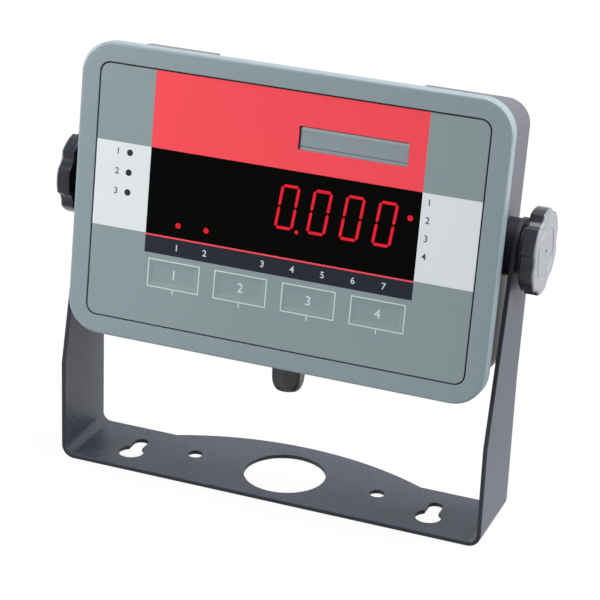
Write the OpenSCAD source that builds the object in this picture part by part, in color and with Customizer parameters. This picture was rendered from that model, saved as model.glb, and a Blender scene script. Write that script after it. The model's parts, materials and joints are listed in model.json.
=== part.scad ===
// Weighing indicator: a sealed display head that tilts between the arms of a bent steel bracket.
// Millimetres, +Z up, X across the arms, the display faces -Y.
// The origin is the centre of the large hole in the bracket's base, on the surface that the base stands on.

/* [Bracket] */
// Thickness of the steel strip
plate_t = 2.2; // [1.8:0.1:2.8]
// Depth of the strip, front to back
base_d = 42.9; // [38:0.1:56]
// Outside radius of the two bends
bend_r = 6.5; // [5:0.1:9]
// Length of the base's rear edge that bulges out round the large hole
bulge_w = 131; // [110:1:140]
// How far the bulge stands behind the straight edge
bulge_h = 15.5; // [10:0.5:20]
// Radius of the large hole in the base
big_hole_r = 20.25; // [15:0.25:22]
// Distance of the hole row behind the middle of the base
hole_row_y = 5.9; // [3:0.1:7]
// Distance of each fixing hole from the middle
fix_hole_x = 48.4; // [42:0.1:54]
// Radius of the fixing holes
fix_hole_r = 3.7; // [2.5:0.1:4.5]
// Distance of each keyhole from the middle
keyhole_x = 78.4; // [70:0.1:86]
// Radius of a keyhole's round end, which passes a screw's head
keyhole_head_r = 6.3; // [5:0.1:7.5]
// Width of a keyhole's slot, which passes a screw's shank
keyhole_slot_w = 7; // [4:0.1:8]
// Length from the centre of the round end to the centre of the slot's end
keyhole_run = 11.5; // [9:0.1:13]
// Height at which an arm's front edge starts to lean back
arm_front_z = 51; // [40:1:60]
// Height at which an arm's rear edge starts to lean back
arm_back_z = 72; // [60:1:85]
// Radius of an arm's round top
arm_tip_r = 14.3; // [12:0.1:16]
// Height of the tilt axis above the floor
pivot_z = 138.3; // [132:0.1:150]
// Distance of the tilt axis behind the middle of the base
pivot_y = 14; // [8:0.5:18]

/* [Head] */
// Lean of the head from upright
tilt = 7.4; // [0:0.1:15]
// Width of the front cover
cover_w = 211; // [206:1:220]
// Height of the front cover
cover_h = 142.2; // [138:0.1:148]
// Depth of the front cover's side wall
cover_d = 6.5; // [5.5:0.1:8]
// Radius of the front cover's corners
cover_corner_r = 16; // [14:0.5:18]
// Rounding of the front cover's front edge
cover_edge_r = 2; // [1:0.1:2.5]
// Thickness of the front cover's face
cover_face_t = 3; // [2.8:0.1:3.4]
// Thickness of the front cover's side wall
cover_wall = 2.6; // [2:0.1:3]
// Depth of the whole head
head_d = 46; // [44:0.5:52]
// Distance of the tilt axis behind the head's face
pivot_back = 28.2; // [26:0.1:30]
// Step from the cover's side in to the housing's side
step_side = 4.2; // [4:0.1:5]
// Step from the cover's top in to the housing's top
step_top = 4.9; // [4.2:0.1:6]
// Gap between the cover's side and an arm
arm_gap = 1.5; // [1:0.1:3]

/* [Rear housing] */
// Thickness of the housing's walls
housing_wall = 2.8; // [2.4:0.1:3.2]
// Radius of the housing's corners
housing_corner_r = 12; // [10:0.5:14]
// Rounding of the housing's rear edge
housing_edge_r = 4; // [2:0.5:5]
// Width of the shallow relief in the housing's top
relief_w = 104; // [80:1:120]
// Depth of the relief in the housing's top
relief_h = 3; // [1:0.5:4]
// Thickness of the sealing ring between cover and housing
gasket_t = 1.2; // [0.8:0.1:1.5]
// Width of the sealing ring
gasket_w = 4.6; // [3:0.1:5]
// Radius of each screw tower
tower_r = 5; // [4.8:0.1:5.4]
// Distance of each screw tower from the housing's outer faces
tower_inset = 9.6; // [9.4:0.1:10.4]

/* [Front panel] */
// Border of the cover round the printed panel, at the sides
border_side = 10.3; // [9:0.1:12]
// Border of the cover round the printed panel, at top and bottom
border_top = 10; // [9:0.1:12]
// Thickness of the printed panel
panel_t = 0.6; // [0.4:0.1:0.8]
// How far the printed panel lies below the cover's face
panel_sink = 0.3; // [0.2:0.1:0.4]
// Gap round the printed panel
panel_gap = 0.5; // [0.3:0.1:0.7]
// Radius of the printed panel's corners
panel_corner_r = 4.7; // [3:0.1:7]
// Width of the panel at each side of the display window
side_band_w = 28.1; // [25:0.1:31]
// Height of the display window
window_h = 41.4; // [38:0.1:46]
// Height of the display window's centre above the tilt axis
window_z = 3.8; // [2:0.1:6]
// Width of the window for the rating strip
strip_w = 53; // [40:0.5:60]
// Height of the window for the rating strip
strip_h = 11.2; // [8:0.1:13]
// Distance of the rating strip's middle from the display window's right edge
strip_inset = 34.9; // [31:0.1:39]
// Height of the rating strip's window above the tilt axis
strip_z = 40.2; // [38:0.1:42]

/* [Keys] */
// Number of keys in the row
key_count = 4; // [2:1:4]
// Distance from key to key
key_pitch = 34.2; // [30:0.1:36]
// Width of a key
key_w = 25.2; // [20:0.1:28]
// Height of a key
key_h = 12.4; // [10:0.1:14]
// Height of the key row above the tilt axis
key_z = -35.7; // [-40:0.1:-34]
// Travel of a key
key_travel = 0.5; // [0.3:0.1:0.6]
// Radius of the plunger behind a key
plunger_r = 2; // [1.5:0.1:2.5]

/* [Display] */
// Number of digits
digit_count = 6; // [2:1:6]
// Distance from digit to digit
digit_pitch = 15.9; // [14:0.1:16.5]
// Distance of the last digit's middle from the display window's right edge
digit_inset = 16.3; // [14:0.1:19]
// Height of the digits' centre above the tilt axis
digit_z = 7; // [5:0.1:9]
// Width of the numeral on a digit
numeral_w = 9; // [7:0.1:10]
// Height of the numeral on a digit
numeral_h = 20.3; // [16:0.1:22]
// Width of one lit segment
segment_w = 1.5; // [1:0.1:2]
// Slant of the numerals from upright
numeral_slant = 6.5; // [0:0.5:10]
// Distance between the three lamps at the panel's left side
lamp_pitch = 9.6; // [8:0.1:11]
// Distance of those lamps from the panel's left edge
lamp_inset = 17.3; // [15:0.1:20]
// Height of the middle lamp above the tilt axis
lamp_z = 10.4; // [8:0.1:12]
// Radius of a lamp
lamp_r = 1.6; // [1.2:0.1:2]

/* [Clamp knobs] */
// Outside radius of a knob
knob_r = 20.3; // [18:0.1:24]
// Thickness of a knob's lobed rim
rim_t = 7.3; // [6:0.1:9]
// Number of lobes on a knob
lobe_count = 6; // [5:1:8]
// Radius of the hollows between the lobes
flute_r = 7.6; // [5:0.1:9]
// Depth of the hollows between the lobes
flute_d = 2.3; // [1.5:0.1:3]
// Turn of the right knob's lobes, from one that points to the front
right_lobe_turn = -3.9; // [-30:0.1:30]
// Turn of the left knob's lobes, from one that points to the front
left_lobe_turn = 18.7; // [-30:0.1:30]
// Radius of a knob's hub
hub_r = 13; // [10:0.5:14]
// Length of the hub between the washer and the rim
hub_t = 1.5; // [1:0.1:3]
// Radius of the threaded stud
stud_r = 4; // [3:0.5:4]
// Length of the stud from the arm's outer face inwards
stud_reach = 17; // [14:0.5:20]
// Radius of the steel washer
washer_r = 11; // [9:0.5:12]
// Thickness of the steel washer
washer_t = 1.5; // [1:0.1:2]
// Radius of the spacer disc between housing and arm
spacer_r = 13.5; // [11:0.5:14]
// Outside radius of the brass insert
insert_r = 6; // [5.5:0.1:7]
// Length of the brass insert
insert_l = 12; // [9:0.5:14]

/* [Cable gland] */
// Distance of the gland behind the tilt axis
gland_back = 2; // [-2:0.5:4]
// Width across the flats of the gland's body
gland_body_af = 19; // [18:0.5:22]
// Height of the gland's hexagon outside the housing
gland_body_h = 5; // [4:0.5:7]
// Width across the flats of the domed nut
gland_nut_af = 17; // [16:0.5:18]
// Length of the domed nut
gland_nut_h = 20.5; // [18:0.5:24]
// Radius of the gland's outer thread
gland_thread_r = 6.9; // [6.5:0.1:7.2]
// Radius of the thread that passes the housing
gland_shank_r = 8; // [7:0.5:9]
// Radius of the hole through the rubber seal
seal_bore_r = 4; // [3:0.5:4.5]
// Wall of the rubber seal
seal_wall = 1.6; // [1.2:0.1:1.8]
// Length of the rubber seal
seal_l = 10; // [8:0.5:12]

/* [Boards] */
// Thickness of both circuit boards
board_t = 1.6; // [1:0.1:2]
// Depth of a digit module
digit_d = 8; // [7:0.1:9]
// Gap between the display board and the screw towers
board_gap = 1.3; // [0.8:0.1:2.5]
// Height of the display board
display_board_h = 92; // [90:1:96]
// Width of the main board
main_board_w = 150; // [140:1:160]
// Height of the main board
main_board_h = 88; // [80:1:94]
// Height of the posts under the main board
main_post_h = 6; // [4:0.5:7]

/* [Hidden] */

$fn = 64;
// Facets of the rounded blocks
block_fn = 32;
// Overrun of every cut
cut = 1;
// Running clearance of the studs in their inserts
run_gap = 0.05;
// Clearance of flat faces that slide on each other
face_gap = 0.1;
// Clearance round a piece that drops into its seat
seat_gap = 0.2;
// Clearance of a shank in its hole
shank_gap = 0.4;

// Bracket
bracket_w = cover_w + 2 * arm_gap + 2 * plate_t;
arm_out_x = bracket_w / 2;
arm_in_x = arm_out_x - plate_t;
bulge_r = (pow(bulge_w / 2, 2) + pow(bulge_h, 2)) / (2 * bulge_h);

// Front cover
face_w = cover_w - 2 * cover_wall;
face_h = cover_h - 2 * cover_wall;
inner_corner_r = cover_corner_r - cover_wall;
panel_w = cover_w - 2 * border_side;
panel_h = cover_h - 2 * border_top;
panel_back = panel_sink + panel_t;
window_w = panel_w - 2 * side_band_w;
window_lip = 3;
window_t = 1.6;
window_r = 1;
strip_x = window_w / 2 - strip_inset;
strip_t = 0.5;
strip_pocket = 1;
strip_r = 0.6;
strip_bead_h = 0.8;

// Rear housing
housing_w = cover_w - 2 * step_side;
housing_h = cover_h - 2 * step_top;
housing_x = housing_w / 2;
housing_z = housing_h / 2;
housing_front = cover_face_t + gasket_t;
flange_gap = 0.3;
flange_w = face_w - 2 * flange_gap;
flange_h = face_h - 2 * flange_gap;
flange_r = inner_corner_r - flange_gap;
cavity_r = housing_corner_r - housing_wall;
inside_back = head_d - housing_wall;
side_boss_wall = 3.5;
side_boss_over = 1.5;

// Screws that close the head
tower_x = housing_x - tower_inset;
tower_z = housing_z - tower_inset;
screw_r = 2;
screw_head_r = 3.6;
screw_head_h = 2.6;
screw_sink = 4;
socket_r = 1.7;
socket_d = 1.6;
boss_r = 4.4;
boss_l = 10;
boss_end = cover_face_t + boss_l;
screw_floor = 2;
screw_tip = cover_face_t + screw_floor;

// Keys
key_gap = 0.2;
key_r = 1.2;
key_raise = 0.25;
key_front = panel_sink - key_raise;
key_pocket = key_travel + face_gap;
plunger_end = cover_face_t + shank_gap;
key_first_x = -key_pitch * (key_count - 1) / 2;

// Display
display_gap = 0.4;
digit_front = cover_face_t + display_gap;
digit_last_x = window_w / 2 - digit_inset;
display_board_y = digit_front + digit_d;
digit_side = 0.2;
digit_w = digit_pitch - 2 * digit_side;
digit_margin = 3;
digit_h = numeral_h + 2 * digit_margin;
segment_rise = 0.2;
segment_space = 0.25;
point_r = 0.95;
point_x = 5.3;
point_drop = 0.3;
board_r = 2;
board_screw_r = 1.2;
board_screw_head_r = 2.3;
board_screw_head_h = 1.6;
board_screw_l = 6;
display_board_z = -5;
display_board_w = 2 * (tower_x - tower_r - board_gap);
display_post_r = 3;
display_post_inset = 5;
display_post_x = display_board_w / 2 - display_post_inset;
display_post_z = display_board_h / 2 - display_post_inset;
lamp_x = panel_w / 2 - lamp_inset;
lamp_flange_r = 1.9;
lamp_flange_h = 1;
lamp_front = panel_back + face_gap;
status_r = 1.5;
status_z = -10.9;
status_shares = [-0.378, -0.27, -0.052, 0.06, 0.172, 0.283, 0.395];
unit_inset = 4.7;
unit_x = window_w / 2 - unit_inset;
unit_z = 11.8;
unit_pitch = 8.4;
switch_w = 6;
switch_h = 3.4;
switch_r = 1.7;
switch_front = plunger_end + key_travel + face_gap;

// Main board and what it carries
main_board_z = 4;
main_board_y = inside_back - main_post_h - board_t;
main_post_r = 3.5;
main_post_inset = 6;
main_post_x = main_board_w / 2 - main_post_inset;
main_post_z = main_board_h / 2 - main_post_inset;
transformer_w = 42;
transformer_h = 35;
transformer_d = 14;
transformer_x = -42;
transformer_coil_share = 0.62;
transformer_coil_d = 4;
transformer_coil_r = 2;
terminal_w = 45;
terminal_h = 9;
terminal_d = 9;
terminal_poles = 9;
terminal_screw_r = 1.5;
terminal_x = 8;
terminal_z = main_board_z - main_board_h / 2 + terminal_h;
ribbon_w = 25;
ribbon_t = 1;
ribbon_x = 40;
ribbon_z = 12;
ribbon_drop = 14;
ribbon_socket_h = 6;
ribbon_socket_d = 3;

// Knobs
hub_back = arm_out_x + face_gap + washer_t + run_gap;
rim_front = hub_back + hub_t;
rim_face = rim_front + rim_t;
rim_edge_r = 0.9;
ring_r = 12.4;
ring_w = 0.8;
ring_d = 0.35;
dot_r = 1.2;
dot_d = 0.6;
stud_seat = 3.5;

// Gland
gland_y = pivot_back + gland_back;
gland_top = -housing_z;
gland_inside = 9;
locknut_h = 4;
locknut_af = 20;
gland_nut_top = gland_top - gland_body_h - face_gap;
gland_nut_end = gland_nut_top - gland_nut_h;
gland_end_wall = 3.2;
gland_dome_r = 8;
gland_mouth_gap = 0.6;
thread_end = gland_nut_end + gland_end_wall + face_gap;
gland_floor = thread_end + seal_l;
hex_share = 1 / cos(30);

// A rectangle in X and Z with round corners, as a flat outline
module round_rect(w, h, r) {
    square([w - 2 * r, h], center = true);
    square([w, h - 2 * r], center = true);
    for (x = [-1, 1], z = [-1, 1])
        translate([x * (w / 2 - r), z * (h / 2 - r)]) circle(r);
}

// A plate that stands in X and Z and reaches from y to y + t
module plate(w, h, r, y, t) {
    translate([0, y + t, 0]) rotate([90, 0, 0]) linear_extrude(t) round_rect(w, h, r);
}

// A rod along Y from y to y + l
module rod_y(r, y, l) {
    translate([0, y, 0]) rotate([-90, 0, 0]) cylinder(r = r, h = l);
}

// A rod along X from x to x + l
module rod_x(r, x, l) {
    translate([x, 0, 0]) rotate([0, 90, 0]) cylinder(r = r, h = l);
}

// A hexagonal rod along Z, with a flat facing the front
module hex_rod(af, z, l) {
    translate([0, 0, z]) cylinder(r = af / 2 * hex_share, h = l, $fn = 6);
}

// A block from y to y + d with round corners and one rounded edge all round, at its low or high end
module soft_block(w, h, corner_r, edge_r, y, d, high = false) {
    turn = high ? 180 : 0;
    translate([0, high ? y + d : y, 0]) rotate([0, 0, turn])
        hull() for (x = [-1, 1], z = [-1, 1])
            translate([x * (w / 2 - corner_r), 0, z * (h / 2 - corner_r)])
                rotate([-90, 0, 0]) rotate_extrude($fn = block_fn) {
                    translate([0, edge_r]) square([corner_r, d - edge_r]);
                    square([corner_r - edge_r, edge_r]);
                    intersection() {
                        translate([corner_r - edge_r, edge_r]) circle(edge_r);
                        square([corner_r, d]);
                    }
                }
}

// Places a piece that is drawn about the middle of the base, so that the hole row lies on the X axis
module on_base() {
    translate([0, -hole_row_y, 0]) children();
}

// Places a piece that is drawn about the tilt axis
module in_head() {
    on_base() translate([0, pivot_y, pivot_z]) rotate([-tilt, 0, 0]) children();
}

// Places a piece that is drawn with y measured back from the head's face
module in_face() {
    in_head() translate([0, -pivot_back, 0]) children();
}

// The outline that the base is cut to: a straight front edge and a rear edge that bulges round the large hole
module base_outline() {
    square([bracket_w + 2 * cut, base_d], center = true);
    intersection() {
        translate([0, base_d / 2 + bulge_h - bulge_r]) circle(bulge_r, $fn = 180);
        translate([-bulge_w / 2, 0]) square([bulge_w, base_d / 2 + bulge_h]);
    }
}

// The holes in the base: the large one, two for bolts and two keyholes
module base_holes() {
    translate([0, hole_row_y]) circle(big_hole_r);
    for (s = [-1, 1]) {
        translate([s * fix_hole_x, hole_row_y]) circle(fix_hole_r);
        translate([s * keyhole_x, hole_row_y]) {
            circle(keyhole_slot_w / 2);
            translate([0, -keyhole_run]) circle(keyhole_head_r);
            translate([-keyhole_slot_w / 2, -keyhole_run]) square([keyhole_slot_w, keyhole_run]);
        }
    }
}

// One arm seen from the side: upright at first, then both edges lean back to meet the round top
module arm_outline() {
    front_dy = pivot_y + base_d / 2;
    front_dz = pivot_z - arm_front_z;
    front_lean = atan2(front_dy, front_dz) - asin(arm_tip_r / norm([front_dy, front_dz]));
    back_dy = pivot_y - base_d / 2;
    back_dz = pivot_z - arm_back_z;
    back_lean = atan2(back_dy, back_dz) + asin(arm_tip_r / norm([back_dy, back_dz]));
    polygon([
        [-base_d / 2, -cut],
        [base_d / 2, -cut],
        [base_d / 2, arm_back_z],
        [pivot_y + arm_tip_r * cos(back_lean), pivot_z - arm_tip_r * sin(back_lean)],
        [pivot_y, pivot_z],
        [pivot_y - arm_tip_r * cos(front_lean), pivot_z + arm_tip_r * sin(front_lean)],
        [-base_d / 2, arm_front_z]
    ]);
    translate([pivot_y, pivot_z]) circle(arm_tip_r);
}

// A box with its two lower edges rounded, seen from the front, whose wall is the bent strip
module bend_outline(w, h, r) {
    translate([-w / 2, r]) square([w, h - r]);
    translate([r - w / 2, 0]) square([w - 2 * r, h]);
    for (s = [-1, 1]) translate([s * (w / 2 - r), r]) circle(r);
}

// One strip of steel bent up at both ends: its bent section, cut to the outlines of the base and the arms
module bracket() {
    top = pivot_z + arm_tip_r + cut;
    depth = base_d + bulge_h + 2 * cut;
    color([0.32, 0.33, 0.36]) on_base() difference() {
        intersection() {
            translate([0, depth - base_d / 2 - cut, 0]) rotate([90, 0, 0])
                linear_extrude(depth) difference() {
                    bend_outline(bracket_w, top, bend_r);
                    translate([0, plate_t]) bend_outline(bracket_w - 2 * plate_t, top, bend_r - plate_t);
                }
            union() {
                translate([0, 0, -cut]) linear_extrude(bend_r + cut) base_outline();
                translate([-arm_out_x - cut, 0, 0]) rotate([90, 0, 90])
                    linear_extrude(bracket_w + 2 * cut) arm_outline();
            }
        }
        translate([0, 0, -cut]) linear_extrude(plate_t + 2 * cut) base_holes();
        for (s = [0, 1]) mirror([s, 0, 0]) translate([0, pivot_y, pivot_z])
            rod_x(stud_r + shank_gap, arm_in_x - cut, plate_t + 2 * cut);
    }
}

module key_places() {
    for (i = [0 : key_count - 1]) translate([key_first_x + i * key_pitch, 0, key_z]) children();
}

module lamp_places() {
    for (i = [-1 : 1]) translate([-lamp_x, 0, lamp_z + i * lamp_pitch]) children();
}

module tower_places() {
    for (x = [-1, 1], z = [-1, 1]) translate([x * tower_x, 0, z * tower_z]) children();
}

module display_post_places() {
    for (x = [-1, 1], z = [-1, 1])
        translate([x * display_post_x, 0, display_board_z + z * display_post_z]) children();
}

module main_post_places() {
    for (x = [-1, 1], z = [-1, 1]) translate([x * main_post_x, 0, main_board_z + z * main_post_z]) children();
}

// A shallow moulded tray with a recess for the printed panel, a window and bosses for the screws
module front_cover() {
    color([0.53, 0.59, 0.61]) in_face() difference() {
        union() {
            difference() {
                soft_block(cover_w, cover_h, cover_corner_r, cover_edge_r, 0, cover_d);
                plate(face_w, face_h, inner_corner_r, cover_face_t, cover_d);
            }
            tower_places() rod_y(boss_r, cover_face_t - seat_gap, boss_l + seat_gap);
            display_post_places()
                rod_y(display_post_r, cover_face_t - seat_gap, display_board_y - cover_face_t + seat_gap);
        }
        plate(panel_w + 2 * panel_gap, panel_h + 2 * panel_gap, panel_corner_r + panel_gap,
            -cut, cut + panel_back);
        translate([0, 0, window_z]) {
            plate(window_w, window_h, window_r, -cut, cover_face_t + 2 * cut);
            plate(window_w + 2 * window_lip, window_h + 2 * window_lip, window_r + window_lip,
                cover_face_t - window_t, window_t + cut);
        }
        translate([strip_x, 0, strip_z])
            plate(strip_w + 2 * seat_gap, strip_h + 2 * seat_gap, strip_r,
                -cut, cut + panel_back + strip_pocket);
        key_places() {
            plate(key_w + 2 * key_gap, key_h + 2 * key_gap, key_r, -cut, cut + panel_back + key_pocket);
            rod_y(plunger_r + seat_gap, -cut, cover_face_t + 2 * cut);
        }
        lamp_places() rod_y(lamp_r + seat_gap, -cut, cover_face_t + 2 * cut);
        tower_places() rod_y(screw_r + run_gap, screw_tip - face_gap, boss_l + cut);
        display_post_places()
            rod_y(board_screw_r + run_gap, display_board_y - board_screw_l - face_gap,
                board_screw_l + cut);
    }
}

// The moulded tub behind the cover, with its towers, pivot bosses, board posts and the relief on top
module rear_housing() {
    back_d = head_d - housing_front;
    relief_y = cover_d + shank_gap;
    relief_outer_w = relief_w + 2 * housing_wall;
    relief_outer_h = relief_h + housing_wall;
    sleeve_l = insert_l + side_boss_over;
    color([0.45, 0.45, 0.48]) in_face() difference() {
        union() {
            difference() {
                union() {
                    soft_block(housing_w, housing_h, housing_corner_r, housing_edge_r,
                        housing_front, back_d, true);
                    plate(flange_w, flange_h, flange_r, housing_front, cover_d - housing_front);
                }
                difference() {
                    plate(housing_w - 2 * housing_wall, housing_h - 2 * housing_wall, cavity_r,
                        housing_front - cut, inside_back - housing_front + cut);
                    translate([-relief_outer_w / 2, housing_front - cut, housing_z - relief_outer_h])
                        cube([relief_outer_w, head_d, relief_outer_h]);
                }
                translate([-relief_w / 2, relief_y, housing_z - relief_h])
                    cube([relief_w, head_d, relief_h + cut]);
            }
            tower_places() rod_y(tower_r, boss_end + face_gap, inside_back - boss_end);
            main_post_places() rod_y(main_post_r, main_board_y + board_t, main_post_h + seat_gap);
            for (s = [0, 1]) mirror([s, 0, 0]) translate([0, pivot_back, 0])
                rod_x(insert_r + side_boss_wall, housing_x - sleeve_l, sleeve_l - seat_gap);
        }
        tower_places() {
            rod_y(screw_r + shank_gap, boss_end - cut, head_d);
            rod_y(screw_head_r + shank_gap, head_d - screw_sink, screw_sink + cut);
        }
        main_post_places()
            rod_y(board_screw_r + run_gap, main_board_y, board_screw_l + face_gap);
        for (s = [0, 1]) mirror([s, 0, 0]) translate([0, pivot_back, 0])
            rod_x(insert_r + run_gap, housing_x - sleeve_l - cut, sleeve_l + 2 * cut);
        translate([0, gland_y, gland_top - cut])
            cylinder(r = gland_shank_r + seat_gap, h = housing_wall + 2 * cut);
    }
}

// A flat rubber ring clamped between the cover's face and the housing's rim
module sealing_ring() {
    color([0.08, 0.08, 0.08]) in_face() difference() {
        plate(flange_w, flange_h, flange_r, cover_face_t, gasket_t);
        plate(flange_w - 2 * gasket_w, flange_h - 2 * gasket_w, flange_r - gasket_w, cover_face_t - cut,
            gasket_t + 2 * cut);
    }
}

// The printed film: one sheet with openings for the keys and the rating strip
module front_panel() {
    color([0.9, 0.3, 0.33]) in_face() difference() {
        plate(panel_w, panel_h, panel_corner_r, panel_sink, panel_t);
        key_places()
            plate(key_w + 2 * key_gap, key_h + 2 * key_gap, key_r + key_gap, -cut, panel_back + 2 * cut);
        translate([strip_x, 0, strip_z]) plate(strip_w, strip_h, strip_r, -cut, panel_back + 2 * cut);
    }
}

// The dark acrylic window, held in a rebate behind the cover's opening
module display_window() {
    color([0.05, 0.03, 0.03]) in_face() translate([0, 0, window_z])
        plate(window_w + 2 * (window_lip - seat_gap), window_h + 2 * (window_lip - seat_gap),
            window_r + window_lip - seat_gap, cover_face_t - window_t + face_gap, window_t - face_gap);
}

// A blank strip of card in a shallow pocket, with a moulded bead along its upper edge
module rating_strip() {
    strip_back = panel_back + strip_pocket;
    color([0.62, 0.67, 0.69]) in_face() translate([strip_x, 0, strip_z]) {
        plate(strip_w, strip_h, strip_r, strip_back - strip_t, strip_t);
        translate([-strip_w / 2 + strip_r, strip_back - strip_t - seat_gap, strip_h / 4])
            cube([strip_w - 2 * strip_r, strip_t, strip_bead_h]);
    }
}

// One sprung key: a raised pad of the panel film on a plunger
module key(i) {
    color([0.55, 0.62, 0.63]) in_face() translate([key_first_x + i * key_pitch, 0, key_z]) {
        plate(key_w, key_h, key_r, key_front, panel_back - key_front);
        rod_y(plunger_r, panel_back - run_gap, plunger_end - panel_back + run_gap);
    }
}

// One bar of a numeral, pointed at both ends, along X about its own middle
module segment(l) {
    half = l / 2 - segment_space;
    tip = segment_w / 2;
    flat = half - tip;
    polygon([[-half, 0], [-flat, tip], [flat, tip], [half, 0], [flat, -tip], [-flat, -tip]]);
}

// The seven bars and the point of one numeral, leaning to the right
module numeral() {
    bar_w = numeral_w - segment_w;
    bar_h = (numeral_h - segment_w) / 2;
    multmatrix([[1, tan(numeral_slant), 0, 0], [0, 1, 0, 0], [0, 0, 1, 0]]) {
        for (z = [-1, 0, 1]) translate([0, z * bar_h]) segment(bar_w);
        for (x = [-1, 1], z = [-1, 1])
            translate([x * bar_w / 2, z * bar_h / 2]) rotate(90) segment(bar_h);
    }
}

// One digit module: a moulded block whose numeral stands just proud of its face
module digit(i) {
    x = digit_last_x - (digit_count - 1 - i) * digit_pitch;
    in_face() translate([x, 0, digit_z]) {
        color([0.12, 0.12, 0.12])
            translate([-digit_w / 2, digit_front + segment_rise, -digit_h / 2])
                cube([digit_w, digit_d - segment_rise, digit_h]);
        color([0.9, 0.15, 0.15]) translate([0, digit_front + 2 * segment_rise, 0]) rotate([90, 0, 0]) {
            linear_extrude(2 * segment_rise) numeral();
            translate([point_x, point_drop - numeral_h / 2]) cylinder(r = point_r, h = 2 * segment_rise);
        }
    }
}

module display_board() {
    color([0.1, 0.4, 0.2]) in_face() difference() {
        translate([0, 0, display_board_z])
            plate(display_board_w, display_board_h, board_r, display_board_y, board_t);
        display_post_places() rod_y(board_screw_r + seat_gap, display_board_y - cut, board_t + 2 * cut);
    }
}

// Small pan-headed screws, drawn from the head's seat towards the tip at the front
module board_screw(seat_y) {
    rod_y(board_screw_r, seat_y - board_screw_l, board_screw_l + run_gap);
    rod_y(board_screw_head_r, seat_y, board_screw_head_h);
}

module display_screws() {
    color("silver") in_face() display_post_places() board_screw(display_board_y + board_t);
}

// One round lamp on the display board, whose dome ends behind the printed panel
module lamp(i) {
    color([0.15, 0.15, 0.2]) in_face() translate([-lamp_x, 0, lamp_z + (1 - i) * lamp_pitch]) {
        rod_y(lamp_r, lamp_front + lamp_r, display_board_y - lamp_front - lamp_r);
        rod_y(lamp_flange_r, display_board_y - lamp_flange_h, lamp_flange_h);
        intersection() {
            translate([0, lamp_front + lamp_r, 0]) sphere(lamp_r);
            rod_y(lamp_r, lamp_front, lamp_r + run_gap);
        }
    }
}

// The small lamps behind the window: a row under the digits and a column to their right
module status_lamps() {
    color([0.7, 0.1, 0.1]) in_face() {
        for (share = status_shares)
            translate([share * window_w, 0, status_z]) rod_y(status_r, digit_front, digit_d);
        for (i = [-2 : 1])
            translate([unit_x, 0, unit_z + i * unit_pitch]) rod_y(status_r, digit_front, digit_d);
    }
}

module key_switch(i) {
    color([0.2, 0.2, 0.2]) in_face() translate([key_first_x + i * key_pitch, 0, key_z]) {
        translate([-switch_w / 2, display_board_y - switch_h, -switch_w / 2])
            cube([switch_w, switch_h, switch_w]);
        rod_y(switch_r, switch_front, display_board_y - switch_h - switch_front + run_gap);
    }
}

module main_board() {
    color([0.1, 0.4, 0.2]) in_face() difference() {
        translate([0, 0, main_board_z])
            plate(main_board_w, main_board_h, board_r, main_board_y, board_t);
        main_post_places() rod_y(board_screw_r + seat_gap, main_board_y - cut, board_t + 2 * cut);
    }
}

module board_screws() {
    color("silver") in_face() main_post_places() {
        rod_y(board_screw_r, main_board_y - run_gap, board_screw_l);
        rod_y(board_screw_head_r, main_board_y - board_screw_head_h, board_screw_head_h);
    }
}

// A laminated core with its winding standing out on the front and two sides
module transformer() {
    coil_h = transformer_h * transformer_coil_share;
    transformer_y = main_board_y - transformer_d;
    color([0.35, 0.33, 0.3]) in_face() translate([transformer_x, transformer_y, main_board_z]) {
        translate([-transformer_w / 2, 0, -transformer_h / 2])
            cube([transformer_w, transformer_d, transformer_h]);
        plate(coil_h, coil_h, transformer_coil_r, -transformer_coil_d / 2, transformer_coil_d);
    }
}

module terminal_block() {
    pole_w = terminal_w / terminal_poles;
    terminal_y = main_board_y - terminal_d;
    color([0.15, 0.45, 0.3]) in_face() translate([terminal_x, terminal_y, terminal_z]) difference() {
        translate([-terminal_w / 2, 0, -terminal_h / 2]) cube([terminal_w, terminal_d, terminal_h]);
        for (i = [0 : terminal_poles - 1])
            translate([(i + 1 / 2) * pole_w - terminal_w / 2, 0, 0])
                rod_y(terminal_screw_r, -cut, terminal_d / 2 + cut);
    }
}

// A flat cable between the two boards, with a socket at each end
module ribbon_cable() {
    front_y = display_board_y + board_t;
    span = main_board_y - front_y;
    half_drop = ribbon_drop / 2;
    color([0.75, 0.75, 0.75]) in_face() translate([ribbon_x, 0, ribbon_z]) {
        for (place = [[front_y, half_drop], [main_board_y - ribbon_socket_d, -half_drop]])
            translate([-ribbon_w / 2, place[0], place[1] - ribbon_socket_h / 2])
                cube([ribbon_w, ribbon_socket_d, ribbon_socket_h]);
        rotate([90, 0, 90]) translate([0, 0, -ribbon_w / 2]) linear_extrude(ribbon_w) polygon([
            [front_y + ribbon_socket_d - run_gap, half_drop - ribbon_t / 2],
            [front_y + span / 2 - ribbon_t / 2, half_drop - ribbon_t / 2],
            [front_y + span / 2 - ribbon_t / 2, -half_drop - ribbon_t / 2],
            [main_board_y - ribbon_socket_d + run_gap, -half_drop - ribbon_t / 2],
            [main_board_y - ribbon_socket_d + run_gap, -half_drop + ribbon_t / 2],
            [front_y + span / 2 + ribbon_t / 2, -half_drop + ribbon_t / 2],
            [front_y + span / 2 + ribbon_t / 2, half_drop + ribbon_t / 2],
            [front_y + ribbon_socket_d - run_gap, half_drop + ribbon_t / 2]
        ]);
    }
}

// Four long screws from the back, through the housing's towers into the cover's bosses
module cover_screws() {
    seat = head_d - screw_sink;
    color("silver") in_face() tower_places() difference() {
        union() {
            rod_y(screw_r, screw_tip, seat - screw_tip + run_gap);
            rod_y(screw_head_r, seat, screw_head_h);
        }
        rod_y(socket_r, seat + screw_head_h - socket_d, socket_d + cut);
    }
}

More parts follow.
